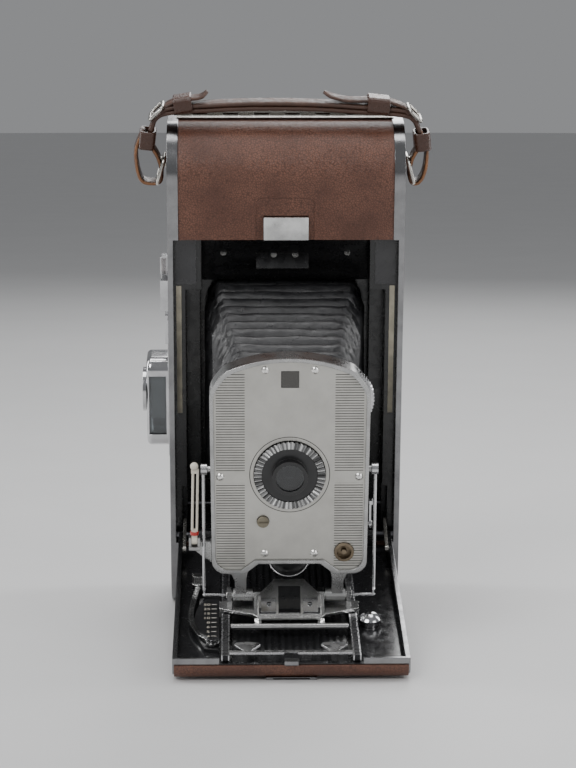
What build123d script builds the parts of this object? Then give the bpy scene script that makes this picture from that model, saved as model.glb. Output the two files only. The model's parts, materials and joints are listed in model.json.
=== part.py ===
from build123d import *
import math
import os

os.makedirs("parts", exist_ok=True)

# ------------------------------------------------------------------ driving dimensions, mm
# "fore" is the distance forward of the front edge of the side rails, "up" the height over
# the end of the body; the whole camera is tipped onto its corner and foot at the end.
BODY_W, BODY_H = 117.0, 255.0
HALF = BODY_W / 2
SPLIT, BACK = -40.0, -60.0          # joint plane of the back cover, and its outer face
SHELL_BACK = -38.0
FRONT_R, REAR_R = 25.0, 14.0
FRAME_T, LIP_T = 2.8, 2.6           # side frame, and its extra width beside the leather
FRAME_IN = HALF - FRAME_T           # inner face of a side frame
DOOR_LO, DOOR_HI = 40.0, 200.6      # the opening that the folded bed fills
STEP = -8.2                         # face behind the folded bed's rim
CAVITY_X, CAVITY_BACK = 50.0, -26.0
SLOPE_X, SLOPE_TOP, SLOPE_END = 42.0, -9.0, 173.0
TUNNEL_X, TUNNEL_LO = 43.0, 50.0

HINGE_A, HINGE_Z = -4.0, 43.0       # bed hinge
BED_A0, BED_A1 = 0.6, 152.0
BED_LO, BED_FLOOR, BED_RIM = 36.0, 38.5, 46.0
RIM_IN, RIM_OUT = 52.0, 54.2
NOSE_R, NOSE_TOP = 6.0, 42.8        # rounded front edge of the bed, and where its leather stops
TIE_Z = 45.3                        # underside of the tracks' front cross tie, over the catch tab
FOOT_A, FOOT_Z = 151.0, 34.6        # tip of the foot under the bed

BOSS_X, BOSS_R = 38.4, 4.6
TRACK_IN, TRACK_OUT = 28.2, 31.9
TRACK_LO, TRACK_HI = 43.5, 46.5
FOCUS_TRAVEL = 17.0

AXLE_A, AXLE_Z = 96.0, 53.0         # foot of the lens standard, which tilts about it
PARK_U = 3.0                        # where that foot ends up along the bed when folded
RAMP_A, RAMP_Z, RAMP_SLOPE = 112.0, 48.2, 0.5     # inclined plate on the carriage
LENS_Z = 115.3
PLATE_A = 100.0
PLATE_TOP, PLATE_LOW, PLATE_HALF = 172.4, 66.0, 37.2
NOTCH = 5.0                         # depth of the hollow in the foot of the plate
BANDS, BAND_PITCH = ((117.2, 165.4), (69.2, 111.2)), 1.27
HOUSE_BACK = 88.0

SPOOL_HI, SPOOL_LO = (-22.0, 228.0), (-22.0, 22.0)
ROLLER_R, ROLLER_Z = 5.5, 34.0
ROLLER_FRONT, ROLLER_BACK = -36.8, -47.9
CROSS_ROD = (-24.4, 52.4)
STRAP_A, LUG_Z = -20.0, 235.0
STRAP_T = 4.2
FOLD_DEPTH = 4.6                    # of the bellows' pleats
TOP_HINGE_Z, KNUCKLE_R = BODY_H + 1.3, 1.25
PRINT_HINGE = (-61.4, 190.0)

# the lean at which the rounded end and the foot touch one plane
_c = FRONT_R
LEAN = 0.0
for _ in range(40):
    LEAN = math.asin(((FOOT_Z - _c) * math.cos(LEAN) + _c) / (FOOT_A + _c))
LEAN_DEG = math.degrees(LEAN)

SIDE = Plane(origin=(0, 0, 0), x_dir=(0, -1, 0), z_dir=(-1, 0, 0))
FRONT = Plane.XZ


# ------------------------------------------------------------------ helpers
def span(x0, x1, a0, a1, z0, z1):
    """A box between limits across, fore and up."""
    mid = Pos((x0 + x1) / 2, -(a0 + a1) / 2, (z0 + z1) / 2)
    return mid * Box(abs(x1 - x0), abs(a1 - a0), abs(z1 - z0))


def rod_x(r, x0, x1, a, z):
    return Pos((x0 + x1) / 2, -a, z) * Rot(0, 90, 0) * Cylinder(r, abs(x1 - x0))


def rod_a(r, a0, a1, x, z):
    return Pos(x, -(a0 + a1) / 2, z) * Rot(90, 0, 0) * Cylinder(r, abs(a1 - a0))


def rod_z(r, z0, z1, x, a):
    return Pos(x, -a, (z0 + z1) / 2) * Cylinder(r, abs(z1 - z0))


def ball(r, x, a, z):
    return Pos(x, -a, z) * Sphere(r)


def side_prism(shape, x0, x1):
    """A sketch of fore and up, made thick between two places across."""
    return extrude(SIDE.offset(-max(x0, x1)) * shape, abs(x1 - x0))


def front_prism(shape, a0, a1):
    """A sketch of across and up, made thick between two places fore."""
    return extrude(FRONT.offset(min(a0, a1)) * shape, abs(a1 - a0))


def plan_prism(points, z0, z1):
    """A polygon of across and fore, made thick between two heights."""
    flat = make_face(Polyline(*[(x, -a) for x, a in points], close=True))
    return extrude(Plane.XY.offset(z0) * flat, z1 - z0)


def polygon(*points):
    return make_face(Polyline(*points, close=True))


def limits(x0, x1, y0, y1):
    return Pos((x0 + x1) / 2, (y0 + y1) / 2) * Rectangle(abs(x1 - x0), abs(y1 - y0))


def rounded(x0, x1, y0, y1, r):
    return fillet(limits(x0, x1, y0, y1).vertices(), r)


def both_sides(make):
    """The same small shape at the right and at the left."""
    right = make(1)
    return right + make(-1)


def front_outline(inset, back):
    sheet = limits(back, -inset, inset, BODY_H - inset)
    return fillet(sheet.vertices().group_by(Axis.X)[-1], FRONT_R - inset)


def rear_outline(inset, front=SPLIT):
    sheet = limits(BACK + inset, front, inset, BODY_H - inset)
    return fillet(sheet.vertices().group_by(Axis.X)[0], REAR_R - inset)


def knurled(radius, depth, teeth, height):
    """A toothed wheel lying flat, centred, its axis up."""
    wheel = Cylinder(radius, height)
    for k in range(teeth):
        turn = 360 / teeth * k
        wheel -= Rot(0, 0, turn) * Pos(radius, 0, 0) * Rot(0, 0, 45) * Box(depth, depth, height * 2)
    return wheel


parts = {}


def keep(name, shape):
    parts[name] = shape


# ------------------------------------------------------------------ body
def body_shell():
    shell = side_prism(front_outline(2.0, SHELL_BACK), -FRAME_IN, FRAME_IN)
    shell -= span(-60, 60, STEP, 1, DOOR_LO, DOOR_HI)
    shell -= span(-CAVITY_X, CAVITY_X, CAVITY_BACK, 1, DOOR_LO, SLOPE_END)
    slope = polygon((1, DOOR_HI), (SLOPE_TOP, DOOR_HI), (CAVITY_BACK, SLOPE_END), (1, SLOPE_END))
    shell -= side_prism(slope, -SLOPE_X, SLOPE_X)
    shell -= span(-TUNNEL_X, TUNNEL_X, SHELL_BACK - 1, 0, TUNNEL_LO, SLOPE_END)
    # film wells at both ends, open to the back, and the gap that the rollers turn in
    for (a, z), r in ((SPOOL_HI, 16.5), (SPOOL_LO, 14.5)):
        shell -= rod_x(r, -CAVITY_X, CAVITY_X, a, z)
        shell -= span(-CAVITY_X, CAVITY_X, SHELL_BACK - 1, a, z - r, z + r)
        shell -= rod_x(1.56, -53, 53, a, z)
    shell -= span(-CAVITY_X, CAVITY_X, SHELL_BACK - 1, -30.5, SPOOL_LO[1], 40.0)
    # room beside the rim for the bed braces, and for the catch under the release button
    shell -= both_sides(lambda s: span(s * 49.5, s * 52.6, -15, -5, DOOR_LO, 68))
    shell -= span(-11.2, 11.2, -8.4, 1, 200, 212.8)
    shell -= rod_x(5.06, 52.5, 60, -19, 128)
    shell -= rod_x(0.82, -51.5, 51.5, *CROSS_ROD)
    shell -= rod_x(1.55, -56, 56, HINGE_A, HINGE_Z)
    shell -= both_sides(lambda s: span(s * 30, s * 47, HINGE_A - 3.4, 1, 38.4, DOOR_LO + 1))
    return shell + catch_block(shell)


def side_frame(s):
    """A polished frame: a side plate, with a lip that borders the leather at both ends."""
    outer = front_outline(0, SPLIT)
    plate = side_prism(outer, s * FRAME_IN, s * HALF)
    lip = side_prism(outer - front_outline(2.0, SPLIT - 5), s * (FRAME_IN - LIP_T), s * FRAME_IN)
    lip -= span(-60, 60, -70, 5, DOOR_LO, DOOR_HI)
    lip -= span(-60, 60, -70, SHELL_BACK, -5, 300)
    frame = plate + lip
    pocket = fillet(limits(-35.5, -5.5, 7, 248).vertices().group_by(Axis.X)[-1], 18)
    frame -= side_prism(pocket, s * (HALF - 0.9), s * (HALF + 1))
    if s > 0:
        frame -= rod_x(5.06, 50, 60, -19, 128)
    return frame


def side_leather(s):
    skin = fillet(limits(-35.4, -5.6, 7.1, 247.9).vertices().group_by(Axis.X)[-1], 17.9)
    skin = side_prism(skin, s * (HALF - 0.9), s * (HALF - 0.05))
    skin -= rod_x(4.25, s * 50, s * 62, STRAP_A, LUG_Z)
    if s > 0:
        skin -= rod_x(5.06, 50, 60, -19, 128)
    return skin


def end_leather(low, high):
    """Leather over one rounded end of the front."""
    skin = front_outline(0.8, SHELL_BACK) - front_outline(2.0, SHELL_BACK - 5)
    edge = FRAME_IN - LIP_T
    skin = side_prism(skin, -edge, edge)
    skin -= both_sides(lambda s: span(s * 30, s * 47, -8, 1, 38.0, DOOR_LO + 1))
    return skin & span(-60, 60, -50, 5, low, high)


def top_leather():
    skin = end_leather(DOOR_HI, 300)
    skin -= span(-11.2, 11.2, -8, 1, 200, 212.8)
    well = front_prism(rounded(-15, 14, 196, 222, 3), -1.25, 1)
    return skin - well


def corner_panel(s):
    return span(s * 44.6, s * 54.8, STEP, STEP + 0.7, 176, 199)


def seal_strip(s):
    return span(s * 52.0, s * 54.5, STEP, STEP + 0.7, 108, 175)


def film_gate():
    gate = span(-55.5, 55.5, SPLIT, SHELL_BACK, 44, 180)
    gate -= span(-37.5, 37.5, SPLIT - 1, SHELL_BACK + 1, 62, 160)
    for z in (62, 160):
        d = 1 if z > 100 else -1
        gate += span(-37.5, 37.5, SPLIT - 0.5, SPLIT + 0.1, z + d * 1.0, z + d * 3.0)
    return gate + roller_cheeks()


def top_hinge(own, leaf_from, leaf_to):
    """One leaf of the long hinge; own is 0 or 1, the knuckles it holds. Leaf 0 has the pin."""
    count, size = 14, 7.7
    leaf = span(-54, 54, leaf_from, leaf_to, BODY_H, BODY_H + 0.5)
    for k in range(count):
        x0 = -54 + k * size + 0.12
        if k % 2 == own:
            leaf += rod_x(KNUCKLE_R, x0, x0 + size - 0.24, SPLIT, TOP_HINGE_Z)
            leaf += span(x0, x0 + size - 0.24, leaf_from, SPLIT, BODY_H, BODY_H + 0.5)
    leaf -= rod_x(0.65, -60, 60, SPLIT, TOP_HINGE_Z)
    if own == 0:
        leaf += rod_x(0.6, -54, 54, SPLIT, TOP_HINGE_Z)
    return leaf


def lug(s):
    """A stud with a round foot and head that the strap ring turns on."""
    stud = rod_x(4.2, s * (HALF - 0.9), s * (HALF + 0.5), STRAP_A, LUG_Z)
    stud += rod_x(2.0, s * HALF, s * (HALF + 4.0), STRAP_A, LUG_Z)
    return stud + rod_x(3.2, s * (HALF + 2.4), s * (HALF + 4.0), STRAP_A, LUG_Z)


def body_screws():
    """The small pan-head screws seen inside the recess and along the side frames."""
    heads = None
    for x, z, out in ((-31, 190, 0.25), (31, 190, 0.25), (-5.8, 188.5, 0.95), (5.0, 188.5, 0.95)):
        a = SLOPE_TOP - (DOOR_HI - z) * (SLOPE_TOP - CAVITY_BACK) / (DOOR_HI - SLOPE_END)
        head = Pos(x, -a, z) * Rot(-31.6, 0, 0) * Pos(0, -out, 0) * Rot(90, 0, 0)
        head = head * Cylinder(1.5, 0.9)
        heads = head if heads is None else heads + head
    return heads


def catch_block(wall):
    """Low black block on the sloping wall, under the release button."""
    a = SLOPE_TOP - (DOOR_HI - 189) * (SLOPE_TOP - CAVITY_BACK) / (DOOR_HI - SLOPE_END)
    block = Pos(-1.5, -a, 189) * Rot(-31.6, 0, 0) * Box(26, 1.6, 15)
    block -= wall
    for x in (-5.8, 5.0):
        block -= Pos(x, -a, 188.5) * Rot(-31.6, 0, 0) * Rot(90, 0, 0) * Cylinder(1.55, 12)
    return block


def finder():
    """Optical finder on the left side: a rounded tube of metal, looking fore."""
    hull = side_prism(rounded(-30, -6, 89.5, 136.5, 7), -70, -HALF - 0.5)
    hull = fillet(hull.edges().filter_by(GeomType.LINE).filter_by(Axis.Z).group_by(Axis.X)[0], 2.4)
    hull -= span(-67.8, -60.6, -31, -5, 98.5, 126.5)
    hull -= rod_x(1.55, -71, -68, -18, 117.5)
    for a0, a1 in ((-8.2, -5), (-31, -27.8)):
        hull -= span(-68.8, -60.0, a0, a1, 97, 128)
    return hull


def finder_base():
    base = span(-HALF - 0.5, -HALF, -31, -5, 86, 158)
    base += span(-HALF - 1.9, -HALF - 0.5, -23, -13, 143, 158)
    return base


def shoe():
    """Accessory shoe beside the finder: a plate with two folded-over edges."""
    plate = span(-HALF - 1.0, -HALF, -29, -7, 162, 178)
    for a0, a1 in ((-29, -27.8), (-8.2, -7)):
        plate += span(-HALF - 4.0, -HALF, a0, a1, 162, 178)
    for a0, a1 in ((-29, -25), (-11, -7)):
        plate += span(-HALF - 4.0, -HALF - 3.0, a0, a1, 162, 178)
    plate += span(-HALF - 3.4, -HALF, -20, -16, 187.2, 188.6)
    plate += span(-HALF - 0.8, -HALF, -20, -16, 178, 188.6)
    return plate + shoe_drum()


def shoe_drum():
    """Knurled drum at the end of the shoe."""
    return Pos(-HALF - 2.1, 18, 182.8) * knurled(2.1, 0.5, 18, 8.8)


# ------------------------------------------------------------------ back cover
def back_cover():
    cover = side_prism(rear_outline(0), -HALF, HALF)
    cover -= side_prism(rear_outline(2.0, SPLIT + 5), -HALF + 2.4, HALF - 2.4)
    cover -= span(-46, 46, BACK - 1, BACK + 4, 60.6, 189.6)
    cover -= front_prism(rounded(-54, 54, 15, 240, 4), BACK - 1, BACK + 0.9)
    cover -= span(-9.2, 9.2, BACK - 1, BACK + 1.05, 46.5, 60.7)
    return cover


def back_leather():
    skin = front_prism(rounded(-53.9, 53.9, 15.1, 239.9, 3.9), BACK, BACK + 0.9)
    skin -= span(-46.6, 46.6, BACK - 1, BACK + 4, 60.2, 194)
    return skin - span(-9.6, 9.6, BACK - 1, BACK + 3, 46.1, 61)


def print_door():
    door = span(-45.6, 45.6, BACK + 0.1, BACK + 2.0, 61, 189.2)
    a, z = PRINT_HINGE
    for k in (1, 3):
        x0 = -43 + k * 17.2
        door += rod_x(1.4, x0 + 0.15, x0 + 17.05, a, z)
        door += span(x0 + 0.15, x0 + 17.05, a, BACK + 2.0, z - 2.6, z - 0.8)
    door -= rod_x(0.85, -50, 50, a, z)
    return door


def print_hinge():
    a, z = PRINT_HINGE
    leaf = None
    for k in (0, 2, 4):
        x0 = -43 + k * 17.2
        piece = rod_x(1.4, x0 + 0.15, x0 + 17.05, a, z)
        piece += span(x0 + 0.15, x0 + 17.05, a, BACK + 0.9, z + 0.4, z + 1.4)
        piece += span(x0 + 0.15, x0 + 17.05, BACK - 0.6, BACK + 0.9, z + 0.4, z + 3.4)
        leaf = piece if leaf is None else leaf + piece
    leaf -= rod_x(0.8, -50, 50, a, z)
    return leaf + rod_x(0.8, -43, 43, a, z)


def print_leather():
    return front_prism(rounded(-44.8, 44.8, 62, 185.6, 3), BACK - 0.8, BACK + 0.1)


def print_latch():
    """Sliding bolt that holds the print door; it is pushed down to let go."""
    bolt = span(-8.8, 8.8, BACK + 0.1, BACK + 1.0, 50.2, 60.3)
    for z in (51.4, 53.0, 54.6):
        bolt += span(-6.5, 6.5, BACK - 1.0, BACK + 0.1, z, z + 0.9)
    return bolt


def pressure_plate():
    plate = span(-46, 46, -44.0, -43.0, 52, 174)
    for x in (-42, 42):
        for z in (50, 196):
            plate += rod_a(2.4, -44.05, -58.0, x, z)
        for z in (50, 196):
            plate += span(x - 3, x + 3, -44.0, -43.0, min(z - 3, 170), max(z + 3, 56))
    return plate


# ------------------------------------------------------------------ film path
def roller(a):
    bar = rod_x(ROLLER_R, -45.6, 45.6, a, ROLLER_Z)
    return bar + rod_x(2.0, -48.9, 48.9, a, ROLLER_Z)


def roller_cheeks():
    cheek = both_sides(lambda s: span(s * 46.0, s * CAVITY_X, -52.5, -32.6, 31, 39))
    cheek += both_sides(lambda s: span(s * 46.0, s * CAVITY_X, SPLIT, SHELL_BACK, 38, 46))
    for a in (ROLLER_FRONT, ROLLER_BACK):
        cheek -= rod_x(2.06, -49.2, 49.2, a, ROLLER_Z)
    return cheek


def spool(centre, flange, roll):
    a, z = centre
    reel = rod_x(roll, -46.5, 46.5, a, z)
    reel += both_sides(lambda s: rod_x(flange, s * 46.5, s * 48.2, a, z))
    return reel + rod_x(1.5, -52.6, 52.6, a, z)


# ------------------------------------------------------------------ bed
def nose(a0, a1, z0, z1, r):
    """Side view of a tray whose lower front edge is rounded."""
    sheet = limits(a0, a1, z0, z1)
    return fillet(sheet.vertices().group_by(Axis.X)[-1].sort_by(Axis.Y)[0], r)


def bed_pan():
    tray = nose(BED_A0, BED_A1, BED_LO, NOSE_TOP, NOSE_R)
    tray -= nose(BED_A0 - 5, 149.6, BED_FLOOR, BED_RIM, 1.5)
    pan = side_prism(tray, -RIM_IN, RIM_IN)
    for s in (-1, 1):
        pan += span(s * 31, s * 46, HINGE_A, BED_A0 + 1, BED_FLOOR, BED_FLOOR + 2.0)
        pan += rod_x(3.0, s * 31, s * 46, HINGE_A, HINGE_Z)
        pan += span(s * 31, s * 46, HINGE_A - 0.5, BED_A0 + 2, BED_FLOOR, HINGE_Z)
    pan -= rod_x(1.55, -60, 60, HINGE_A, HINGE_Z)
    pan += track_guides() + front_block()
    return pan - rod_z(BOSS_R + 0.06, 30, 50, BOSS_X, 100)


def bed_rim():
    """Bright rim: both long edges, and a strip across each side of the front edge."""
    profile = nose(BED_A0, BED_A1, BED_LO, BED_RIM, NOSE_R)
    rim = both_sides(lambda s: side_prism(profile, s * RIM_IN, s * RIM_OUT))
    rim += both_sides(lambda s: span(s * 32.8, s * (RIM_IN - 0.05), 150.5, BED_A1, NOSE_TOP, BED_RIM))
    studs = both_sides(lambda s: rod_x(1.2, s * 50.0, s * (RIM_IN + 0.5), 21, 45))
    return rim + studs + catch_tab() + foot_bar() + focus_pin()


def front_block():
    """Dark step between the two bright strips of the front edge."""
    return span(-32.6, 32.6, 149.6, BED_A1, NOSE_TOP - 1, NOSE_TOP + 0.4)


def bed_leather():
    """Leather under the bed that wraps up round its front edge."""
    sheet = nose(1.6, BED_A1 + 1, BED_LO - 1, NOSE_TOP - 0.1, NOSE_R + 1)
    sheet -= nose(-5, BED_A1, BED_LO, BED_RIM, NOSE_R)
    skin = side_prism(sheet, -53.4, 53.4)
    skin -= span(-12, 12, 142.4, 160, 30, BED_LO + 0.15)
    return skin - rod_z(BOSS_R + 0.3, 30, 40, BOSS_X, 100)


def foot_bar():
    """Folded metal foot under the front edge; with the rounded end it carries the camera."""
    bar = span(-11.6, 11.6, 142.6, FOOT_A, FOOT_Z, BED_LO)
    return bar - span(-8.4, 8.4, 148.4, 160, FOOT_Z + 0.45, BED_LO - 0.4)


def catch_tab():
    return span(-3.2, 3.2, 149.8, BED_A1 + 1.7, NOSE_TOP + 0.4, TIE_Z - 0.2)


def bed_liner():
    """Glossy floor lining, ribbed lengthwise between the tracks."""
    sheet = both_sides(lambda s: span(s * 32.8, s * (RIM_IN - 0.1), 4.2, 147.9, BED_FLOOR, BED_FLOOR + 0.6))
    sheet -= rod_z(BOSS_R + 0.3, 30, 50, BOSS_X, 100)
    sheet += span(-27, 27, 4.2, 147.8, BED_FLOOR, BED_FLOOR + 0.9)
    for k in range(17):
        x = -25.6 + k * 3.2
        sheet += span(x - 0.8, x + 0.8, 6, 147.8, BED_FLOOR + 0.9, BED_FLOOR + 1.6)
    return sheet


def track_guides():
    return both_sides(lambda s: span(s * 28.4, s * 31.7, 6, 147.8, BED_FLOOR, TRACK_LO - 0.1))


def tripod_boss():
    """Threaded socket through the bed, domed on the inside."""
    boss = rod_z(BOSS_R, BED_LO - 1.0, 41.8, BOSS_X, 100)
    boss += rod_z(5.6, 40.6, 42.4, BOSS_X, 100)
    cap = Pos(BOSS_X, -100, 38.9) * Sphere(6.6) & span(25, 50, 90, 110, 42.4, 60)
    return boss + cap - rod_z(3.175, 30, 42.4, BOSS_X, 100)


def focus_scale():
    """Curved plate beside the left track that carries the distance marks."""
    plate = plan_prism(
        [(-33.2, 74), (-40, 74), (-44, 86), (-45.4, 100), (-44, 114), (-40, 130), (-33.2, 132)],
        BED_FLOOR + 0.6, BED_FLOOR + 2.4)
    ticks = None
    for k in range(9):
        tick = span(-36.8, -34.4, 80 + k * 5.2, 80.5 + k * 5.2, BED_FLOOR + 2.4, BED_FLOOR + 2.6)
        ticks = tick if ticks is None else ticks + tick
    plate += ticks
    return plate - rod_z(1.45, 38, 50, -36, 126)


def focus_pin():
    pin = rod_z(1.4, BED_FLOOR + 0.6, 43.6, -36, 126)
    return pin + rod_z(2.6, 43.1, 44.1, -36, 126)


def focus_lever():
    """Bowed lever with a round grip, turning about the pin at its front end."""
    path = Spline((-36, -126), (-44.2, -112), (-46.4, -90), (-43.6, -61))
    arm = extrude(Plane.XY.offset(41.6) * trace(path, 2.4), 1.2)
    arm += rod_z(3.2, 41.6, 42.8, -36, 126)
    arm += rod_z(3.0, 41.6, 44.0, -43.6, 61)
    arm += Pos(-43.6, -61, 46.1) * knurled(2.8, 0.5, 20, 4.2)
    return arm - rod_z(1.46, 38, 50, -36, 126)


def brace(s):
    """Slotted brace between the bed rim and the body's side."""
    dx, dz = -23.0, 8.0
    length = math.hypot(dx, dz)
    bar = Pos(length / 2 - 1, 0) * Rectangle(length - 2, 2.8)
    bar += Circle(2.1)
    bar += Pos(length - 2, 0) * Circle(1.4)
    bar -= Circle(1.26)
    bar -= Pos(length * 0.62, 0) * Rectangle(length * 0.5, 1.0)
    turn = math.degrees(math.atan2(dz, dx))
    bar = Pos(21, 45) * Rot(0, 0, turn) * bar
    return side_prism(bar, s * 50.2, s * 51.8)


# ------------------------------------------------------------------ tracks and carriage
def focus_tracks():
    rails = both_sides(lambda s: span(s * TRACK_IN, s * TRACK_OUT, 2.5, 150, TRACK_LO, TRACK_HI))
    for a, z in ((10, TRACK_LO), (145.5, TIE_Z)):
        rails += span(-TRACK_IN, TRACK_IN, a - 1.2, a + 1.2, z, z + 1.2)
    return rails + track_stops()


def track_stops():
    """Two fan-shaped bright tabs on the front cross tie."""
    fans = both_sides(lambda s: plan_prism(
        [(s * 20 - 6, 137.5), (s * 20 - 5, 135.5), (s * 20, 134.6), (s * 20 + 5, 135.5),
         (s * 20 + 6, 137.5), (s * 20 + 1.6, 144.3), (s * 20 - 1.6, 144.3)],
        TIE_Z, TIE_Z + 1.0))
    return fans


def ramp(x0, x1, a0, a1, h0, h1):
    """A slab lying parallel to the carriage's inclined plate, between two heights over it."""
    low0, low1 = (RAMP_Z + (RAMP_A - a) * RAMP_SLOPE for a in (a0, a1))
    return side_prism(polygon((a0, low0 + h0), (a1, low1 + h0), (a1, low1 + h1), (a0, low0 + h1)), x0, x1)


def carriage():
    """Bent plate that runs on the tracks and holds the axle of the lens standard."""
    base = plan_prism([(-33.0, 93), (33.0, 93), (33.0, 101.5), (17, 108.5), (14.5, RAMP_A + 0.2),
                       (-14.5, RAMP_A + 0.2), (-17, 108.5), (-33.0, 101.5)], 47.0, 48.4)
    outline = plan_prism([(-15.4, RAMP_A), (15.4, RAMP_A), (15.4, 101.5), (7, 92), (-7, 92), (-15.4, 101.5)],
                         40, 70)
    base += ramp(-15, 15, 90, RAMP_A + 1, 0, 1.2) & outline
    for s in (-1, 1):
        base += span(s * 13.4, s * 16.6, 93, 99, 48.4, AXLE_Z + 2.6)
        base += span(s * 27.2, s * 29.4, 93, 99, 48.4, AXLE_Z + 2.6)
        base += span(s * 32.1, s * 33.0, 97.5, 101.5, 43.9, 47.0)
    return base + rod_x(1.5, -29.8, 29.8, AXLE_A, AXLE_Z) + pull_bar()


def carriage_block():
    """Black block between the release tabs."""
    block = ramp(-5.2, 5.2, 98.4, 110.6, 1.2, 3.4)
    return block + both_sides(lambda s: rod_z(0.9, 54.6, 55.8, s * 2.9, 105))


def release_tab(s):
    """Bright pinch tab that lets the carriage go; it slides in towards the middle."""
    tab = ramp(s * 6.3, s * 14.4, 103.6, 111.2, 1.3, 2.2)
    tab += ramp(s * 13.4, s * 14.4, 103.6, 111.2, 2.2, 4.4)
    return tab + rod_z(1.1, 52.4, 53.6, s * 9.6, 107)


def pull_bar():
    """Bar across the front of the carriage, just above the ribbed floor."""
    bar = rod_x(1.5, -27.4, 27.4, 116.5, 45.7)
    for s in (-1, 1):
        bar += span(s * 13.2, s * 16.4, 104, 108, 46.0, 47.2)
        bar += span(s * 13.2, s * 16.4, 104, 116.5, 45.4, 46.8)
    return bar


# ------------------------------------------------------------------ lens standard
def plate_outline(grow):
    """Shield shape of the shutter plate: arched top, rounded corners, hollow below."""
    half, low = PLATE_HALF + grow, PLATE_LOW - grow
    shoulder, top = PLATE_TOP - 6.6 + grow, PLATE_TOP + grow
    arc = ThreePointArc((half - 6.5, shoulder), (0, top), (-(half - 6.5), shoulder))
    right = Line((half, shoulder - 8.5), (half - 6.5, shoulder))
    left = Line((-(half - 6.5), shoulder), (-half, shoulder - 8.5))
    rest = Polyline((-half, shoulder - 8.5), (-half + 0.9, low), (half - 0.9, low), (half, shoulder - 8.5))
    sheet = make_face([arc, right, left, rest])
    corners = sheet.vertices().filter_by(lambda v: v.Y > shoulder - 10 and abs(v.X) > 20)
    sheet = fillet(corners, 11.0)
    sheet = fillet(sheet.vertices().filter_by(lambda v: v.Y < low + 1), 6.5)
    g = grow
    notch = polygon((-21 + g, low - 3), (21 - g, low - 3), (21 - g, low + 0.01), (14.5 - g, low + NOTCH),
                    (-14.5 + g, low + NOTCH), (-21 + g, low + 0.01))
    return sheet - notch


def standard_housing():
    """Shutter housing: rim, side wall and back plate with the light opening."""
    full = front_prism(plate_outline(0), HOUSE_BACK + 1.8, PLATE_A + 1.4)
    full += front_prism(plate_outline(-0.7), HOUSE_BACK + 0.8, HOUSE_BACK + 1.8)
    full += front_prism(plate_outline(-2.0), HOUSE_BACK, HOUSE_BACK + 0.8)
    full -= front_prism(plate_outline(-1.7), PLATE_A - 1.0, PLATE_A + 3)
    inner = front_prism(plate_outline(-3.0), HOUSE_BACK + 2.0, PLATE_A)
    full -= inner
    full -= rod_a(18.0, HOUSE_BACK - 1, PLATE_A, 0, LENS_Z)
    # slot for the exposure wheel, and bores for what turns in the housing
    full -= rod_a(16.6, 91.6, 95.4, 23, 150.5)
    for x, z in PLATE_SCREWS:
        full -= rod_a(1.3, PLATE_A - 1.2, PLATE_A + 0.5, x, z)
    full += exposure_pivot() + shutter_pin() + sight_bracket()
    for s in (-1, 1):
        full += leg(s)
        full += rod_x(1.5, s * (PLATE_HALF - 2), s * (PLATE_HALF + 1.2), 94.5, LENS_Z + 0.8)
    return full


def leg(s):
    """Cast leg from the foot of the housing to its barrel on the axle."""
    shape = polygon((s * 20.2, AXLE_Z), (s * 25.6, AXLE_Z), (s * 25.6, 61), (s * 27.2, 64.4),
                    (s * 33, PLATE_LOW + 0.4), (s * 33, PLATE_LOW + 3), (s * 13.6, PLATE_LOW + NOTCH + 1),
                    (s * 13.8, PLATE_LOW + NOTCH + 0.3), (s * 17.2, PLATE_LOW + 2.6),
                    (s * 19.6, PLATE_LOW - 0.4), (s * 20.2, PLATE_LOW - 3.5))
    strut = front_prism(shape, 93.6, 98.6)
    strut += rod_x(3.0, s * 17.2, s * 26.6, AXLE_A, AXLE_Z)
    return strut - rod_x(1.56, s * 10, s * 30, AXLE_A, AXLE_Z)


def face_plate():
    face = front_prism(plate_outline(-1.75), PLATE_A - 1.0, PLATE_A)
    face -= rod_a(16.9, 90, 105, 0, LENS_Z)
    face -= rod_a(3.0, 90, 105, -12.4, 92)
    face -= rod_a(4.7, 90, 105, 25.7, 76.6)
    face -= span(-4.2, 4.2, 90, 105, 157.9, 166.1)
    for x, z in PLATE_SCREWS:
        face -= rod_a(1.3, 90, 105, x, z)
    # engraved bands of fine lines at both sides
    for low, high in BANDS:
        for k in range(int((high - low) / BAND_PITCH)):
            z = low + k * BAND_PITCH
            cut = both_sides(lambda s: span(s * 20.9, s * 34.2, PLATE_A - 0.12, PLATE_A + 1, z, z + 0.4))
            face -= cut
    return face


PLATE_SCREWS = [(s * x, z) for x, z in ((11.5, 166.5), (32.3, 114.3), (11.6, 75.8)) for s in (-1, 1)]


def plate_screws():
    """Six equal dome-head screws."""
    group = None
    for x, z in PLATE_SCREWS:
        head = (Pos(x, -PLATE_A + 1.4, z) * Sphere(2.4)) & span(x - 2, x + 2, PLATE_A, PLATE_A + 2, z - 2, z + 2)
        screw = head + rod_a(1.25, PLATE_A - 0.9, PLATE_A + 0.1, x, z)
        group = screw if group is None else group + screw
    return group


def lens_flange():
    ring = rod_a(13.0, 90.2, PLATE_A + 1.2, 0, LENS_Z)
    ring += rod_a(16.8, 95.5, 98.8, 0, LENS_Z)
    return ring


def lens_ring():
    """Bright segmented ring around the lens."""
    ring = Pos(0, -PLATE_A - 0.3, LENS_Z) * Rot(90, 0, 0) * knurled(16.6, 0.7, 48, 2.8)
    return ring - rod_a(13.1, 90, 110, 0, LENS_Z)


def lens_barrel():
    """Black flange and barrel, with the stop behind the front glass."""
    tube = lens_flange() + rod_a(8.3, 90.2, 105.6, 0, LENS_Z) - rod_a(6.55, 92, 110, 0, LENS_Z)
    tube -= rod_a(5.0, 89, 93, 0, LENS_Z)
    return tube + aperture_disc()


def lens_glass():
    disc = rod_a(6.5, 100.2, 104.6, 0, LENS_Z)
    dome = Pos(0, -104.6 + 17, LENS_Z) * Sphere(18.18)
    return disc & dome


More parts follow.
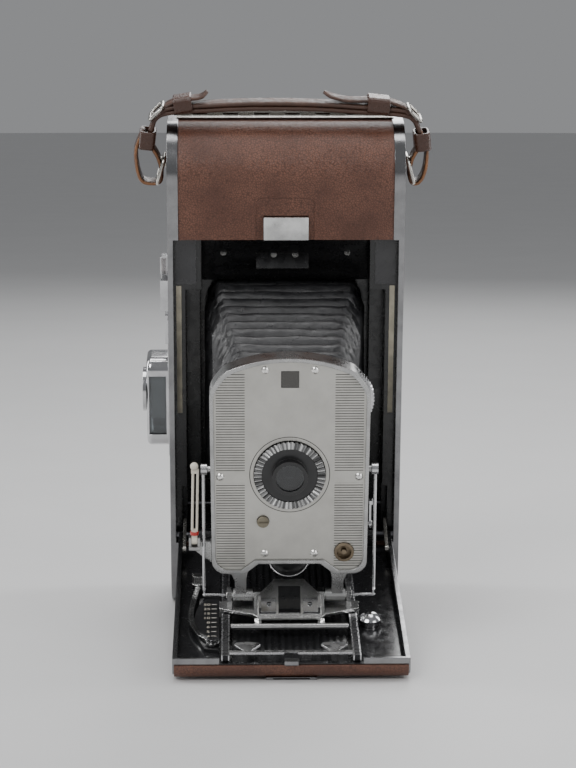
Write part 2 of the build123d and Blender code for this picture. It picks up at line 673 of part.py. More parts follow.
def aperture_disc():
    """Rear element and stop, behind the front glass."""
    stop = rod_a(6.6, 94, 95, 0, LENS_Z) - rod_a(3.2, 90, 100, 0, LENS_Z)
    return stop


def window_glass():
    return span(-4.1, 4.1, PLATE_A - 1.0, PLATE_A - 0.2, 158.0, 166.0)


def exposure_wheel():
    wheel = Pos(23, -93.5, 150.5) * Rot(90, 0, 0) * knurled(16.2, 0.9, 60, 3.0)
    return wheel - rod_a(1.56, 90, 100, 23, 150.5)


def exposure_pivot():
    pin = rod_a(1.5, 90.0, 97.5, 23, 150.5)
    return pin + rod_a(2.6, 97.0, 99.0, 23, 150.5) + rod_a(2.6, 90.0, 91.6, 23, 150.5)


def mode_knob():
    knob = rod_a(2.8, PLATE_A - 1.8, PLATE_A + 1.2, -12.4, 92)
    return knob - span(-14.9, -9.9, PLATE_A + 0.7, PLATE_A + 2, 91.6, 92.4)


def flash_socket():
    ring = rod_a(4.6, PLATE_A - 4, PLATE_A + 1.2, 25.7, 76.6)
    ring -= rod_a(3.4, PLATE_A - 2, PLATE_A + 3, 25.7, 76.6)
    return ring + rod_a(1.2, PLATE_A - 2.2, PLATE_A + 0.9, 25.7, 76.6)


def shutter_lever():
    """Small sprung lever at the right of the housing that fires the shutter."""
    arm = span(PLATE_HALF + 0.35, PLATE_HALF + 1.35, 92.0, 94.4, 88, 99)
    arm += span(PLATE_HALF + 0.35, PLATE_HALF + 2.0, 91.6, 94.8, 98, 100)
    arm += rod_x(2.0, PLATE_HALF + 0.35, PLATE_HALF + 1.35, 93.2, 88)
    return arm - rod_x(0.86, 30, 50, 93.2, 88)


def shutter_pin():
    pin = rod_x(0.8, PLATE_HALF - 1.2, PLATE_HALF + 1.9, 93.2, 88)
    return pin + rod_x(1.5, PLATE_HALF + 1.42, PLATE_HALF + 1.9, 93.2, 88)


def side_wire(s):
    """Bent wire from the housing's side down to the axle."""
    x, r = s * 40.2, 0.7
    wire = rod_z(r, AXLE_Z + 3, LENS_Z + 2, x, 94.5)
    wire += rod_x(2.6, s * (PLATE_HALF + 1.3), s * 41.4, 94.5, LENS_Z + 0.8)
    wire += ball(r, x, 94.5, AXLE_Z + 3)
    wire += Pos(x, -95.25, AXLE_Z + 1.5) * Rot(math.degrees(math.atan2(1.5, 3)), 0, 0) * Cylinder(r, 3.4)
    wire += ball(r, x, AXLE_A, AXLE_Z)
    return wire + rod_x(r, s * 30.2, x, AXLE_A, AXLE_Z)


def sight_bracket():
    """Bright arm at the lower left corner that carries the sight post."""
    arm = front_prism(polygon((-36.9, 69), (-40.6, 71), (-47.2, 77.2), (-47.2, 78.8), (-36.9, 78.8)), 90.2, 92.8)
    arm += span(-47.2, -41.9, 90.2, 98.2, 76.6, 78.2)
    for x0 in (-47.2, -43.1):
        arm += span(x0, x0 + 1.2, 93.9, 97.5, 78.2, 82.6)
    arm += span(-37.2, -36.6, 90.2, 96, 70, 79.6)
    arm += rod_x(0.8, -47.2, -41.9, 95.6, 81)
    return arm


def sight_post():
    """Foot, collar, twin uprights and ball of the folding front sight."""
    post = rod_x(2.1, -45.9, -43.2, 95.6, 81) + rod_z(1.3, 81, 86.2, -44.55, 95.6)
    post += span(-46.1, -43.0, 94.8, 96.4, 85.4, 86.4)
    for x, lean in ((-45.4, 0.1), (-43.7, 0.6)):
        post += Pos(x + lean, -95.6, 101.4) * Rot(0, 1.2, 0) * Cylinder(0.6, 30.6)
    post += ball(1.9, -44.4, 95.6, 118)
    post += span(-45.9, -43.0, 95.0, 96.2, 114.5, 116.6)
    return post - rod_x(0.85, -50, -40, 95.6, 81)


def sight_collar():
    return rod_z(1.95, 83.8, 85.3, -44.55, 95.6) - sight_post()


# ------------------------------------------------------------------ bellows
def bellows():
    """Tapering box of pleats between the film tunnel and the back of the housing."""
    pleats = 13
    a0, a1 = SHELL_BACK + 0.4, HOUSE_BACK - 0.2
    hx, zlo, zhi = (41.0, 27.5), (54.0, 78.0), (171.5, 160.5)
    steps = pleats * 2

    def skin(depth_out, depth_in, grow):
        rings = []
        for k in range(steps + 1):
            t = k / steps
            a = a0 + (a1 - a0) * t
            fold = depth_out if k % 2 == 0 else depth_in
            x = hx[0] + (hx[1] - hx[0]) * t - fold + grow
            lo = zlo[0] + (zlo[1] - zlo[0]) * t + fold - grow
            hi = zhi[0] + (zhi[1] - zhi[0]) * t - fold + grow
            rings.append(FRONT.offset(a) * limits(-x, x, lo, hi))
        return loft(rings, ruled=True)

    return skin(0.0, FOLD_DEPTH, 0.0) - skin(0.0, FOLD_DEPTH, -0.7)


# ------------------------------------------------------------------ strap
def strap_path():
    return Spline((-66.0, 228.5), (-68.6, 241), (-66.2, 254), (-56, 262.4), (-20, 264.4), (20, 263.8),
                  (56, 261.4), (66.0, 253.4), (68.0, 241), (65.4, 228.5))


def strap():
    band = front_prism(trace(strap_path(), STRAP_T), STRAP_A - 6, STRAP_A + 6)
    for s in (-1, 1):
        band += rod_a(3.35, STRAP_A - 6, STRAP_A + 6, s * 64.2, 227.0)
        band -= rod_a(1.36, STRAP_A - 7, STRAP_A + 7, s * 64.2, 227.0)
    # free tails held by leather loops at both ends
    band += strap_tail((-59.0, 262.0), (-52, 266.4), (-45, 268.4), (-39, 271.4))
    band += strap_tail((59.6, 261.2), (50, 265.6), (36, 267.6), (28, 267.9), (19, 271.4))
    band += strap_keeper(-50.5, 265.2, -7, 8.5) + strap_keeper(45.5, 264.6, 5, 11)
    band += strap_keeper(-69.0, 247.6, -84, 8) + strap_keeper(68.6, 246.6, 84, 8)
    return band


def strap_ring(s):
    """Loop that turns on the lug and holds the end of the strap."""
    ring = side_prism(rounded(STRAP_A - 9, STRAP_A + 9, 224.6, 239.4, 3.4), s * (HALF + 0.7), s * (HALF + 2.2))
    ring -= rod_x(2.06, s * 50, s * 70, STRAP_A, LUG_Z)
    for a in (STRAP_A - 8.9, STRAP_A + 6.9):
        ring += span(s * (HALF + 0.7), s * 65.6, a, a + 2.0, 225.6, 228.4)
    return ring + rod_a(1.3, STRAP_A - 8, STRAP_A + 8, s * 64.2, 227.0)


def strap_keeper(x, z, turn, length):
    """Leather loop that holds a tail of the strap down."""
    loop = Box(length, 14.4, 8.6) - Box(length + 1, 12.6, 6.4)
    return Pos(x, -STRAP_A, z) * Rot(0, turn, 0) * loop


def strap_tail(*points):
    return front_prism(trace(Spline(*points), 1.8), STRAP_A - 5.4, STRAP_A + 5.4)


def strap_buckle(x, z, turn):
    frame = Box(9.5, 17.5, 1.8) - Box(6.1, 13.6, 3)
    frame += Pos(-0.4, 0, 0) * Box(6.6, 1.4, 1.2)
    return Pos(x, -STRAP_A, z) * Rot(0, turn, 0) * frame


def buckles():
    pair = strap_buckle(-63.6, 261.4, -44) + strap_buckle(63.4, 260.4, 44)
    return pair - strap()


# ------------------------------------------------------------------ build every piece
keep("body_shell", body_shell())
keep("side_frames", both_sides(side_frame))
keep("side_leathers", both_sides(side_leather))
keep("end_leathers", top_leather() + end_leather(-5, DOOR_LO))
keep("recess_panels", both_sides(corner_panel))
keep("seal_strips", both_sides(seal_strip))
keep("film_gate", film_gate())
keep("body_screws", body_screws() - parts["body_shell"])
hinge_rod = rod_x(1.5, -FRAME_IN, FRAME_IN, HINGE_A, HINGE_Z)
keep("body_rods", hinge_rod + rod_x(0.8, -51.4, 51.4, *CROSS_ROD))
keep("side_socket", rod_x(5.0, 52.5, HALF, -19, 128) - rod_x(3.175, 53.2, 60, -19, 128))
keep("top_hinge", top_hinge(0, -31.0, -37.7))
keep("strap_lugs", both_sides(lug))
keep("finder_housing", finder())
keep("finder_base", finder_base() + shoe())
panes = [span(-68.6, -60.2, a, a + 0.8, 97.2, 127.8) for a in (-8.0, -28.8)]
keep("finder_glass", panes[0] + panes[1])
keep("finder_dial", rod_x(11.2, -72, -70.2, -18, 117.5) + rod_x(1.5, -70.2, -68.4, -18, 117.5))
keep("roller_front", roller(ROLLER_FRONT))
keep("roller_back", roller(ROLLER_BACK))
keep("spool_upper", spool(SPOOL_HI, 14.0, 11.5))
keep("spool_lower", spool(SPOOL_LO, 13.0, 8.0))
keep("latch_button", span(-11, 11, -4.6, 1.4, 200.95, 212.5))

keep("back_cover", back_cover())
keep("back_leather", back_leather())
keep("cover_hinges", top_hinge(1, -46.0, -42.3) + print_hinge())
keep("pressure_plate", pressure_plate())
keep("print_door", print_door())
keep("print_door_leather", print_leather())
keep("print_latch", print_latch())

keep("bed_pan", bed_pan())
keep("bed_rim", bed_rim())
keep("bed_leather", bed_leather())
keep("bed_liner", bed_liner())
keep("tripod_boss", tripod_boss())
keep("focus_scale", focus_scale())
keep("focus_lever", focus_lever())
keep("focus_tracks", focus_tracks())
keep("carriage", carriage())
keep("carriage_block", carriage_block())
for tag, s in (("left", -1), ("right", 1)):
    keep(f"brace_{tag}", brace(s))
    keep(f"release_tab_{tag}", release_tab(s))

keep("standard_housing", standard_housing())
keep("face_plate", face_plate())
keep("plate_screws", plate_screws())
keep("lens_ring", lens_ring())
keep("lens_barrel", lens_barrel())
keep("lens_glass", lens_glass())
keep("window_glass", window_glass())
keep("exposure_wheel", exposure_wheel())
keep("mode_knob", mode_knob())
keep("flash_socket", flash_socket())
keep("shutter_lever", shutter_lever())
keep("side_wires", both_sides(side_wire))
keep("sight_post", sight_post())
keep("sight_collar", sight_collar())
keep("bellows", bellows())

keep("strap", strap())
keep("strap_rings", both_sides(strap_ring))
keep("strap_buckles", buckles())

# ------------------------------------------------------------------ stand it up and write it
lean = Rot(LEAN_DEG, 0, 0)
for name, shape in parts.items():
    parts[name] = lean * shape
everything = [shape.bounding_box() for shape in parts.values()]
low = [min(getattr(b.min, k) for b in everything) for k in "XYZ"]
high = [max(getattr(b.max, k) for b in everything) for k in "XYZ"]
shift = Pos(-(low[0] + high[0]) / 2, -(low[1] + high[1]) / 2, -low[2])
for name, shape in parts.items():
    export_step(shift * shape, f"parts/{name}.step")
print("lean", LEAN_DEG, "low", low, "high", high)
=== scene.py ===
import json
import math

import bmesh
import bpy
from mathutils import Matrix, Vector, noise


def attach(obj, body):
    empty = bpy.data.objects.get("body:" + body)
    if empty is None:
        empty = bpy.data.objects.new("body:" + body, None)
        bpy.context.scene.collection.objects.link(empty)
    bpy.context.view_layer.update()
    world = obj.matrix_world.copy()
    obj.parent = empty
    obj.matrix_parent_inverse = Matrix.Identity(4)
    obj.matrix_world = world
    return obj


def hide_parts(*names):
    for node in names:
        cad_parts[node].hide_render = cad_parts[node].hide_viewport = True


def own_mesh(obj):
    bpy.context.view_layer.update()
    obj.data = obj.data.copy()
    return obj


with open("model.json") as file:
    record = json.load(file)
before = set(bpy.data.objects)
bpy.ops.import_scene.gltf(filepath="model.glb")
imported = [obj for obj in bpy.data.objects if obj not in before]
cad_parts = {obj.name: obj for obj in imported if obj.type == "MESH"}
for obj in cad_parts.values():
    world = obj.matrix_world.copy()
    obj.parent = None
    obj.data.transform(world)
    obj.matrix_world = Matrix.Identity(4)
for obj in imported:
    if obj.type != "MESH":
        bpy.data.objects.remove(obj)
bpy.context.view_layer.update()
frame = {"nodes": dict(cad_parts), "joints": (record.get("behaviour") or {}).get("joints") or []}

# ------------------------------------------------------------------ the camera's own upright frame
# Places are given as across, fore (forward of the side rails) and up (over the lower end),
# in millimetres, as in the part's source. The body stands tipped forward by LEAN.
MM = 0.001
JOINTS = {j["name"]: j for j in frame["joints"]}
ACROSS = Vector((1, 0, 0))
FORE = -Vector(JOINTS["carriage_slide"]["axis"])
UP = FORE.cross(ACROSS)
LEAN = math.atan2(-FORE.z, -FORE.y)
HINGE = Vector(JOINTS["bed_fold"]["pos_m"])
HINGE_FORE, HINGE_UP = -4.0, 43.0
LENS_UP = 115.3
STRAP_FORE = -20.0
WELD = 0.01 * MM                            # points nearer than this become one


def at(across, fore, up):
    """The point in the shared frame, in metres."""
    return HINGE + (ACROSS * across + FORE * (fore - HINGE_FORE) + UP * (up - HINGE_UP)) * MM


# ------------------------------------------------------------------ materials
class Look:
    """A material in the making. Patterns are in millimetres of the upright frame."""

    def __init__(self, name):
        self.material = bpy.data.materials.new(name)
        self.material.use_nodes = True
        self.tree = self.material.node_tree
        self.tree.nodes.clear()
        self.shader = self.add("ShaderNodeBsdfPrincipled")
        output = self.add("ShaderNodeOutputMaterial")
        self.join(self.shader.outputs[0], output.inputs["Surface"])
        place = self.add("ShaderNodeMapping")
        place.inputs["Rotation"].default_value = (-LEAN, 0, 0)
        place.inputs["Scale"].default_value = (1 / MM, 1 / MM, 1 / MM)
        origin = Matrix.Rotation(-LEAN, 3, "X") @ at(0, 0, 0)
        place.inputs["Location"].default_value = -origin / MM
        self.join(self.add("ShaderNodeTexCoord").outputs["Object"], place.inputs["Vector"])
        self.place = place.outputs[0]

    def add(self, kind, **settings):
        node = self.tree.nodes.new(kind)
        for key, value in settings.items():
            setattr(node, key, value)
        return node

    def join(self, source, target):
        self.tree.links.new(source, target)

    def feed(self, target, value):
        """A socket gets a link or a constant."""
        if isinstance(value, bpy.types.NodeSocket):
            self.join(value, target)
        elif isinstance(value, tuple) and len(value) == 3 and target.type == "RGBA":
            target.default_value = (*value, 1)
        else:
            target.default_value = value

    def set(self, **values):
        for key, value in values.items():
            self.feed(self.shader.inputs[key.replace("_", " ")], value)

    def stretched(self, across, fore, up):
        """The place with each axis scaled, for grain that runs one way."""
        node = self.add("ShaderNodeMapping")
        node.inputs["Scale"].default_value = (across, fore, up)
        self.join(self.place, node.inputs["Vector"])
        return node.outputs[0]

    def noise(self, size, detail=4.0, rough=0.55, place=None, twist=0.0):
        node = self.add("ShaderNodeTexNoise")
        node.inputs["Scale"].default_value = 1 / size
        node.inputs["Detail"].default_value = detail
        node.inputs["Roughness"].default_value = rough
        node.inputs["Distortion"].default_value = twist
        self.join(place or self.place, node.inputs["Vector"])
        return node.outputs[0]

    def cells(self, size, place=None):
        """Distance to the border between cells, which draws pebbles and creases."""
        node = self.add("ShaderNodeTexVoronoi", feature="DISTANCE_TO_EDGE")
        node.inputs["Scale"].default_value = 1 / size
        self.join(place or self.place, node.inputs["Vector"])
        return node.outputs["Distance"]

    def math(self, operation, first, second=0.0, third=0.0):
        node = self.add("ShaderNodeMath", operation=operation)
        for socket, value in zip(node.inputs, (first, second, third)):
            self.feed(socket, value)
        return node.outputs[0]

    def between(self, value, low, high, to_low=0.0, to_high=1.0):
        """A value spread from one range to another, and held at its ends."""
        node = self.add("ShaderNodeMapRange")
        for socket, amount in zip(node.inputs, (value, low, high, to_low, to_high)):
            self.feed(socket, amount)
        return node.outputs[0]

    def mix(self, share, first, second):
        node = self.add("ShaderNodeMix", data_type="RGBA")
        self.feed(node.inputs["Factor"], share)
        self.feed(node.inputs[6], first)
        self.feed(node.inputs[7], second)
        return node.outputs[2]

    def axes(self):
        node = self.add("ShaderNodeSeparateXYZ")
        self.join(self.place, node.inputs[0])
        return node.outputs

    def warped(self, size, amount):
        """The place pushed about by a soft noise, which breaks up a regular pattern."""
        source = self.add("ShaderNodeTexNoise")
        source.inputs["Scale"].default_value = 1 / size
        self.join(self.place, source.inputs["Vector"])
        node = self.add("ShaderNodeVectorMath", operation="MULTIPLY_ADD")
        self.join(source.outputs["Color"], node.inputs[0])
        node.inputs[1].default_value = (amount, amount, amount)
        self.join(self.place, node.inputs[2])
        return node.outputs[0]

    def bevel(self, radius):
        node = self.add("ShaderNodeBevel", samples=4)
        node.inputs["Radius"].default_value = radius * MM
        return node.outputs[0]

    def bump(self, height, depth, strength=1.0, normal=None):
        """Relief that is depth millimetres deep."""
        node = self.add("ShaderNodeBump")
        node.inputs["Strength"].default_value = strength
        node.inputs["Distance"].default_value = depth * MM
        self.join(height, node.inputs["Height"])
        if normal is not None:
            self.join(normal, node.inputs["Normal"])
        return node.outputs[0]

    def edge_wear(self, radius):
        """1 along convex edges and 0 on flats."""
        turned = self.add("ShaderNodeVectorMath", operation="DOT_PRODUCT")
        self.join(self.bevel(radius), turned.inputs[0])
        self.join(self.add("ShaderNodeNewGeometry").outputs["True Normal"], turned.inputs[1])
        worn = self.between(turned.outputs["Value"], 0.99, 0.86)
        return self.math("MULTIPLY", worn, self.between(self.noise(1.6), 0.42, 0.6))


def leather(name, dark, light, grain=1.15, relief=0.10):
    """Pebbled and creased leather with rubbed high spots."""
    look = Look(name)
    moved = look.warped(3.2, 1.9)
    pebble = look.between(look.cells(grain, place=moved), 0.0, 0.22)
    crease = look.between(look.cells(grain * 3.1, place=look.warped(7.0, 5.0)), 0.0, 0.10)
    relief_map = look.math("ADD", look.math("MULTIPLY", pebble, 0.6), look.math("MULTIPLY", crease, 0.4))
    relief_map = look.math("ADD", relief_map, look.math("MULTIPLY", look.noise(0.28), 0.35))
    tone = look.mix(look.between(look.noise(22, 5), 0.36, 0.66), dark, light)
    deep = tuple(channel * 0.6 for channel in dark)
    tone = look.mix(look.between(pebble, 0.0, 0.75), deep, tone)
    rubbed = tuple(min(1.0, channel * 1.55) for channel in light)
    wear = look.math("MULTIPLY", look.edge_wear(0.5), 0.6)
    tone = look.mix(wear, tone, rubbed)
    look.set(Base_Color=tone, Roughness=look.between(look.noise(2.0), 0.3, 0.7, 0.34, 0.52))
    look.set(Specular_IOR_Level=0.45, Normal=look.bump(relief_map, relief, 0.9, look.bevel(0.25)))
    return look.material


def strap_leather(name, dark, light, edge, gloss=0.3):
    """Smooth, creased strap leather with cut edges of another colour."""
    look = Look(name)
    fore = look.axes()[1]
    reach = look.math("ABSOLUTE", look.math("SUBTRACT", fore, -STRAP_FORE))
    worn = look.noise(3.2, 6, 0.65)
    cut = look.between(look.math("ADD", reach, look.math("MULTIPLY", worn, 1.2)), 5.7, 6.5)
    face = look.mix(look.between(look.noise(5.5, 5), 0.35, 0.68), dark, light)
    rubbed = tuple(channel * 1.6 for channel in light)
    face = look.mix(look.between(worn, 0.58, 0.74), face, rubbed)
    look.set(Base_Color=look.mix(cut, face, edge))
    look.set(Roughness=look.between(worn, 0.35, 0.7, gloss, gloss + 0.25))
    crease = look.noise(0.9, 5, 0.6, look.stretched(1.0, 0.22, 1.0), 0.8)
    height = look.math("ADD", crease, look.math("MULTIPLY", look.noise(0.25), 0.3))
    look.set(Normal=look.bump(height, 0.22, 0.8))
    return look.material


def bellows_leather():
    """Thin black leather, soft gloss, crumpled where the pleats meet."""
    look = Look("bellows_leather")
    crumple = look.noise(7.0, 6, 0.62, look.stretched(1, 1.6, 1.6), 1.2)
    fine = look.between(look.cells(0.8, place=look.warped(2.0, 1.2)), 0.0, 0.2)
    tone = look.mix(look.between(crumple, 0.35, 0.7), (0.010, 0.010, 0.011), (0.036, 0.036, 0.038))
    look.set(Base_Color=tone, Roughness=look.between(look.noise(4.0, 5), 0.32, 0.68, 0.24, 0.5))
    height = look.math("ADD", crumple, look.math("MULTIPLY", fine, 0.12))
    look.set(Normal=look.bump(height, 0.45, 0.6), Specular_IOR_Level=0.55)
    return look.material


def metal(name, tint, rough, rough_worn, grain=(1, 1, 1), scratch=0.012, edge=0.22, dirt=0.25):
    """Polished or brushed metal: fine scratches one way, smears and a softened edge."""
    look = Look(name)
    smear = look.noise(9.0, 5, 0.6)
    lines = look.noise(0.5, 3, 0.7, look.stretched(*grain))
    dull = tuple(channel * (1 - dirt) for channel in tint)
    look.set(Base_Color=look.mix(look.between(smear, 0.42, 0.72), tint, dull), Metallic=1.0)
    spread = look.math("ADD", look.math("MULTIPLY", smear, 0.6), look.math("MULTIPLY", lines, 0.4))
    look.set(Roughness=look.between(spread, 0.35, 0.68, rough, rough_worn))
    look.set(Normal=look.bump(lines, scratch, 0.6, look.bevel(edge)))
    return look.material


def enamel(name, tint, rough, wear_tint, relief=0.02, edge=0.3):
    """Stoved paint with a faint orange peel, dust in places and metal showing at edges."""
    look = Look(name)
    peel = look.noise(0.9, 3, 0.5)
    dust = look.between(look.noise(11, 6, 0.7), 0.56, 0.78)
    lifted = tuple(channel * 1.8 + 0.006 for channel in tint)
    tone = look.mix(look.math("MULTIPLY", dust, 0.6), tint, lifted)
    tone = look.mix(look.math("MULTIPLY", look.edge_wear(edge), 0.7), tone, wear_tint)
    look.set(Base_Color=tone, Coat_Weight=0.35, Coat_Roughness=0.12)
    look.set(Roughness=look.between(look.noise(5.0, 4), 0.35, 0.7, rough, rough + 0.16))
    look.set(Normal=look.bump(peel, relief, 0.6, look.bevel(edge)))
    return look.material


# Two engraved bands of fine lines on the shutter plate, with a plain gap at mid height,
# and an etched circle round the lens
BAND_INNER, BAND_OUTER = 20.8, 34.3
BAND_LOW, BAND_HIGH = 69.1, 165.1
GAP_LOW, GAP_HIGH = 111.1, 117.1
LOWER_LINES, UPPER_LINES = 69.2, 117.2      # where the first line of each part starts
LINE_PITCH, LINE_WIDTH = 1.27, 0.46
CIRCLE_RADIUS = 18.6
SOFT = 0.15                                 # width over which an edge fades


def satin_plate():
    """Satin shutter plate: engraved bands filled black, an etched circle, faint vertical grain."""
    look = Look("satin_plate")
    across, back, up = look.axes()
    side = look.math("ABSOLUTE", across)
    inner_edge = look.between(side, BAND_INNER, BAND_INNER + SOFT)
    in_band = look.math("MULTIPLY", inner_edge, look.between(side, BAND_OUTER, BAND_OUTER - SOFT))
    lower = look.between(up, 114.3, 114.2)
    start = look.math("MULTIPLY_ADD", lower, LOWER_LINES - UPPER_LINES, UPPER_LINES)
    line = look.math("FLOORED_MODULO", look.math("SUBTRACT", up, start), LINE_PITCH)
    top_of_line = look.between(line, LINE_WIDTH, LINE_WIDTH - 0.1)
    in_line = look.math("MULTIPLY", look.between(line, 0.0, 0.08), top_of_line)
    run = look.math("MULTIPLY", look.between(up, BAND_HIGH, BAND_HIGH - 0.1),
                    look.between(up, BAND_LOW, BAND_LOW + 0.1))
    gap = look.math("MULTIPLY", look.between(up, GAP_LOW, GAP_LOW + 0.2),
                    look.between(up, GAP_HIGH, GAP_HIGH - 0.2))
    run = look.math("MULTIPLY", run, look.math("SUBTRACT", 1.0, gap))
    mark = look.math("MULTIPLY", look.math("MULTIPLY", in_band, in_line), run)
    rise = look.math("SUBTRACT", up, LENS_UP)
    square = look.math("ADD", look.math("POWER", across, 2.0), look.math("POWER", rise, 2.0))
    reach = look.math("SQRT", square)
    off_circle = look.math("ABSOLUTE", look.math("SUBTRACT", reach, CIRCLE_RADIUS))
    circle = look.between(off_circle, 0.24, 0.14)
    mark = look.math("MAXIMUM", mark, circle)
    mark = look.math("MULTIPLY", mark, look.between(look.noise(2.5, 4), 0.25, 0.42, 0.72, 1.0))
    blotch = look.noise(14, 6, 0.6)
    plate = look.mix(look.between(blotch, 0.38, 0.7), (0.56, 0.55, 0.515), (0.49, 0.48, 0.45))
    speck = look.between(look.noise(0.7, 2, 0.5), 0.72, 0.78)
    plate = look.mix(look.math("MULTIPLY", speck, 0.5), plate, (0.25, 0.22, 0.18))
    look.set(Base_Color=look.mix(mark, plate, (0.022, 0.021, 0.02)))
    look.set(Metallic=look.between(mark, 0.0, 1.0, 1.0, 0.0))
    look.set(Roughness=look.between(blotch, 0.35, 0.7, 0.40, 0.5))
    grain = look.noise(0.4, 3, 0.7, look.stretched(1, 1, 0.05))
    look.set(Normal=look.bump(grain, 0.012, 0.6))
    return look.material


SEGMENTS = 48                               # flats round the lens ring
RAIL_MIDDLE = 30.05                         # of each focusing rail, from the middle of the camera
TOOTH_TURN = 4.2                            # radians of the rack's wave in a millimetre
SCALE_TICK_LOW = 40.92                      # the scale's ticks stand above this height


def segmented_ring():
    """Bright ring round the lens, cut into short flats; the base colour paints a highlight on the flats one
    by one, dark between them.
    """
    look = Look("segmented_ring")
    across, back, up = look.axes()
    angle = look.math("ARCTAN2", look.math("SUBTRACT", up, LENS_UP), across)
    tooth = look.math("SINE", look.math("MULTIPLY", angle, float(SEGMENTS)))
    node = look.add("ShaderNodeCombineXYZ")
    look.feed(node.inputs[0], look.math("MULTIPLY", look.math("COSINE", angle), 9.0))
    look.feed(node.inputs[1], look.math("MULTIPLY", look.math("SINE", angle), 9.0))
    # Painted highlight: a noise glint and the wave of the flats run the base colour from dark metal to
    # bright, so the flats look lit one by one.
    glint = look.between(look.noise(1.4, 2, 0.5, node.outputs[0]), 0.36, 0.64)
    lit = look.math("MULTIPLY", look.between(tooth, -0.5, 0.5, 0.25, 1.0), glint)
    look.set(Base_Color=look.mix(lit, (0.10, 0.10, 0.10), (0.86, 0.86, 0.85)), Metallic=1.0)
    look.set(Roughness=look.between(tooth, -1.0, 1.0, 0.34, 0.2))
    look.set(Normal=look.bump(tooth, 0.25, 0.7, look.bevel(0.25)))
    return look.material


def rail_steel():
    """Ground rail with fine rack teeth cut in it and a polished edge at both sides."""
    look = Look("rail_steel")
    across, back, up = look.axes()
    middle = look.math("ABSOLUTE", look.math("SUBTRACT", look.math("ABSOLUTE", across), RAIL_MIDDLE))
    inner = look.between(middle, 1.45, 1.15)
    line = look.math("SINE", look.math("MULTIPLY", back, TOOTH_TURN))
    tone = look.mix(look.between(line, -0.3, 0.5), (0.03, 0.03, 0.032), (0.15, 0.15, 0.155))
    look.set(Base_Color=look.mix(inner, (0.62, 0.62, 0.63), tone), Metallic=1.0)
    look.set(Roughness=look.between(look.noise(4), 0.35, 0.7, 0.18, 0.36))
    groove = look.math("MULTIPLY", look.between(line, -0.4, 0.4), inner)
    look.set(Normal=look.bump(groove, 0.15, 0.7, look.bevel(0.25)))
    return look.material


def ribbed_black():
    """Glossy black lining with dust and fine rub marks."""
    return enamel("ribbed_black", (0.014, 0.014, 0.015), 0.14, (0.05, 0.05, 0.05), 0.012, 0.2)


def scale_plate():
    """Black distance scale with light graduations on its raised ticks."""
    look = Look("scale_plate")
    up = look.axes()[2]
    raised = look.between(up, SCALE_TICK_LOW, SCALE_TICK_LOW + 0.06)
    stain = look.noise(3, 5)
    tone = look.mix(raised, (0.012, 0.012, 0.013), (0.62, 0.6, 0.54))
    tone = look.mix(look.between(stain, 0.6, 0.8, 0.0, 0.4), tone, (0.05, 0.048, 0.044))
    look.set(Base_Color=tone, Roughness=look.between(stain, 0.3, 0.7, 0.28, 0.45))
    look.set(Normal=look.bump(look.noise(0.6), 0.015, 0.6, look.bevel(0.2)))
    return look.material


def felt_strip(name, tint):
    """Cream light seal, matt and slightly fibrous."""
    look = Look(name)
    fibre = look.noise(0.35, 5, 0.7, look.stretched(1, 1, 0.3))
    stained = tuple(channel * 0.55 for channel in tint)
    look.set(Base_Color=look.mix(look.between(look.noise(9, 5), 0.4, 0.75), tint, stained))
    look.set(Roughness=look.between(fibre, 0.2, 0.8, 0.6, 0.85), Sheen_Weight=0.3)
    look.set(Normal=look.bump(fibre, 0.08, 0.7))
    return look.material


def glass(name, tint, rough, weight=1.0, ior=1.5):
    """Clear or coated glass with a trace of dust."""
    look = Look(name)
    dust = look.between(look.noise(1.6, 6, 0.7), 0.52, 0.8, rough, rough + 0.12)
    shade = tuple(channel * 0.8 for channel in tint)
    look.set(Base_Color=look.mix(look.between(look.noise(8), 0.4, 0.7), tint, shade))
    look.set(Roughness=dust, Transmission_Weight=weight, IOR=ior, Coat_Weight=0.4, Coat_Roughness=0.03)
    look.set(Normal=look.bump(look.noise(6, 2), 0.004, 0.3))
    return look.material


def paper():
    """Wound paper: close rings seen on the ends, faint edges on the round."""
    look = Look("paper_roll")
    layer = look.noise(0.5, 2, 0.5, look.stretched(0.05, 1, 1))
    look.set(Base_Color=look.mix(look.between(layer, 0.35, 0.65), (0.6, 0.56, 0.48), (0.72, 0.69, 0.62)))
    look.set(Roughness=look.between(layer, 0.2, 0.8, 0.6, 0.75))
    look.set(Normal=look.bump(layer, 0.05, 0.6))
    return look.material


LEATHER_DARK, LEATHER_LIGHT = (0.098, 0.040, 0.026), (0.172, 0.076, 0.049)
SHELL_METAL = metal("polished_aluminium", (0.29, 0.29, 0.295), 0.12, 0.3, (1, 1, 0.05), 0.01, 0.45)
CHROME = metal("chrome_plate", (0.60, 0.60, 0.61), 0.06, 0.2, (1, 1, 1), 0.006, 0.3)
# A paler copy of the chrome for the carriage, focusing lever and latch button: its lighter tint is painted
# light, standing in for their highlights.
CHROME_PAINTED_LIGHT = metal("chrome_painted_light", (0.76, 0.76, 0.75), 0.13, 0.3, (1, 1, 1), 0.008, 0.3)
NICKEL = metal("nickel", (0.50, 0.485, 0.45), 0.14, 0.34, (1, 1, 1), 0.012, 0.25)
STEEL = metal("polished_steel", (0.66, 0.66, 0.67), 0.16, 0.34, (1, 0.05, 1), 0.012, 0.25)
DARK_STEEL = metal("dark_steel", (0.22, 0.22, 0.235), 0.26, 0.45, (0.05, 1, 1), 0.012, 0.2)
HOUSING = metal("polished_housing", (0.47, 0.47, 0.465), 0.22, 0.38, (1, 1, 1), 0.01, 0.5)
BRASS = metal("aged_brass", (0.25, 0.20, 0.14), 0.26, 0.5, (1, 1, 1), 0.02, 0.2, 0.5)
AGED_NICKEL = metal("aged_nickel", (0.30, 0.27, 0.205), 0.22, 0.45, (1, 1, 1), 0.02, 0.2, 0.45)
BLACK = enamel("black_enamel", (0.007, 0.007, 0.0075), 0.2, (0.12, 0.11, 0.1))
